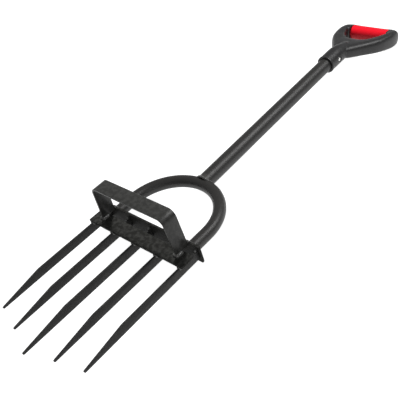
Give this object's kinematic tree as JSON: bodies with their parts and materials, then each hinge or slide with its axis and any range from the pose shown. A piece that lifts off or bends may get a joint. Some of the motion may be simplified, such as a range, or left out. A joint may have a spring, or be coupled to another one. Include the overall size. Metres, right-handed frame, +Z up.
{
  "type": "lawn aerator fork",
  "caption": "Hand fork for aerating a lawn: flat steel tines under a head plate, a raised bracket over it, a U-shaped yoke, a tubular shaft and a D-handle with a soft grip.",
  "frame": {"origin": "under the middle of the whole tool, on the surface that it lies on", "axes": "+X across the head, +Y from the tines to the handle, +Z up from the surface that the tool lies on, which is the side that the bracket stands on. Lying on its crossbar and handle, the head plate slopes half a degree down towards the tips"},
  "size_m": [0.221, 0.985, 0.1008],
  "materials": {
    "head_powder_coat": "matte",
    "tine_powder_coat": "matte",
    "bracket_powder_coat": "matte",
    "tube_powder_coat": "satin",
    "weld_bead": "satin",
    "handle_black_plastic": "satin",
    "grip_red_rubber": "matte",
    "rivet_steel": "satin"
  },
  "bodies": {
    "root": {"rear_crossbar": "head_powder_coat", "head_plate": "head_powder_coat", "tine_1": "tine_powder_coat", "tine_1_weld_left": "weld_bead", "tine_1_weld_right": "weld_bead", "tine_2": "tine_powder_coat", "tine_2_weld_left": "weld_bead", "tine_2_weld_right": "weld_bead", "tine_3": "tine_powder_coat", "tine_3_weld_left": "weld_bead", "tine_3_weld_right": "weld_bead", "tine_4": "tine_powder_coat", "tine_4_weld_left": "weld_bead", "tine_4_weld_right": "weld_bead", "tine_5": "tine_powder_coat", "tine_5_weld_left": "weld_bead", "tine_5_weld_right": "weld_bead", "seam_tack_1": "weld_bead", "seam_tack_2": "weld_bead", "seam_tack_3": "weld_bead", "seam_tack_4": "weld_bead", "seam_tack_5": "weld_bead", "fulcrum_bracket": "bracket_powder_coat", "bracket_left_weld_outer": "weld_bead", "bracket_left_weld_inner": "weld_bead", "bracket_left_tack": "weld_bead", "bracket_right_weld_outer": "weld_bead", "bracket_right_weld_inner": "weld_bead", "bracket_right_tack": "weld_bead", "yoke_tube": "tube_powder_coat", "yoke_left_weld": "weld_bead", "yoke_right_weld": "weld_bead", "shaft_tube": "tube_powder_coat", "shaft_weld": "weld_bead", "handle_body": "handle_black_plastic", "handle_grip": "grip_red_rubber", "handle_rivet": "rivet_steel"}
  },
  "joints": []
}
